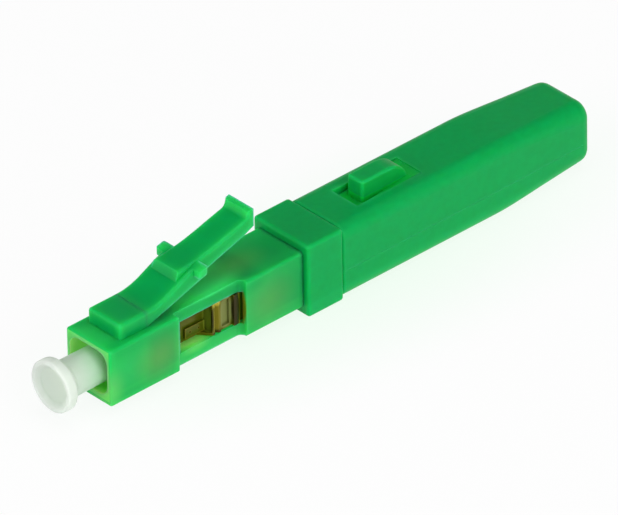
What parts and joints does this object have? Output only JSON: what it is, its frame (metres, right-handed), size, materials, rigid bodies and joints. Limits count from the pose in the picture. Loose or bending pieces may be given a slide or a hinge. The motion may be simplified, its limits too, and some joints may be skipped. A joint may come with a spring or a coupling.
{
  "type": "field-installable fibre connector",
  "caption": "Green field-installable single-fibre plug with latch arm, amber splice in its side windows, milky dust cap and tapered boot with a release button.",
  "frame": {"origin": "centre of the plug housing's front face, on the optical axis", "axes": "+X along the optical axis towards the cable end, +Y across the plug, +Z towards the latch arm"},
  "size_m": [0.0485, 0.0056, 0.0099],
  "materials": {
    "green_gloss": "slightly translucent green moulding with soft gloss",
    "green_boot": "satin green moulding",
    "cap_milky": "milky soft polyethylene",
    "amber": "see-through amber moulding",
    "zirconia": "polished white ceramic",
    "steel": "bright stainless steel",
    "glass_fibre": "clear glass",
    "groove_clear": "clear to milky moulding"
  },
  "bodies": {
    "connector": {"plug_frame": "green_gloss", "body_frame": "green_gloss", "plug_spring": "steel", "clamp_lid": "green_gloss", "boot": "green_boot", "cable_jaw_near": "steel", "cable_jaw_far": "steel", "buffer_clamp": "groove_clear"},
    "latch": {"latch_arm": "green_gloss"},
    "splice_core": {"ferrule": "zirconia", "ferrule_holder": "steel", "fibre_stub": "glass_fibre", "splice_holder": "amber", "v_groove_base": "groove_clear", "v_groove_lid_front": "groove_clear", "v_groove_lid_rear": "groove_clear", "clamp_spring": "steel", "fibre_guide": "groove_clear"},
    "button": {"release_button": "green_gloss"},
    "cap": {"dust_cap": "cap_milky"}
  },
  "joints": [
    {"name": "latch_press", "type": "hinge", "parent": "connector", "child": "latch", "pos_m": [0.004, 0, 0.00229], "axis": [0, 1, 0], "range_deg": [0, 9], "stiffness_Nm_per_rad": 0.4},
    {"name": "ferrule_float", "type": "slide", "parent": "connector", "child": "splice_core", "axis": [1, 0, 0], "range_m": [0, 0.0008], "stiffness_N_per_m": 2000, "deforming": ["plug_spring"]},
    {"name": "button_press", "type": "hinge", "parent": "connector", "child": "button", "pos_m": [0.0293, 0, 0.00195], "axis": [0, -1, 0], "range_deg": [0, 8.5], "stiffness_Nm_per_rad": 0.3},
    {"name": "cap_pull", "type": "slide", "parent": "connector", "child": "cap", "axis": [-1, 0, 0], "range_m": [0, 0.01]}
  ]
}
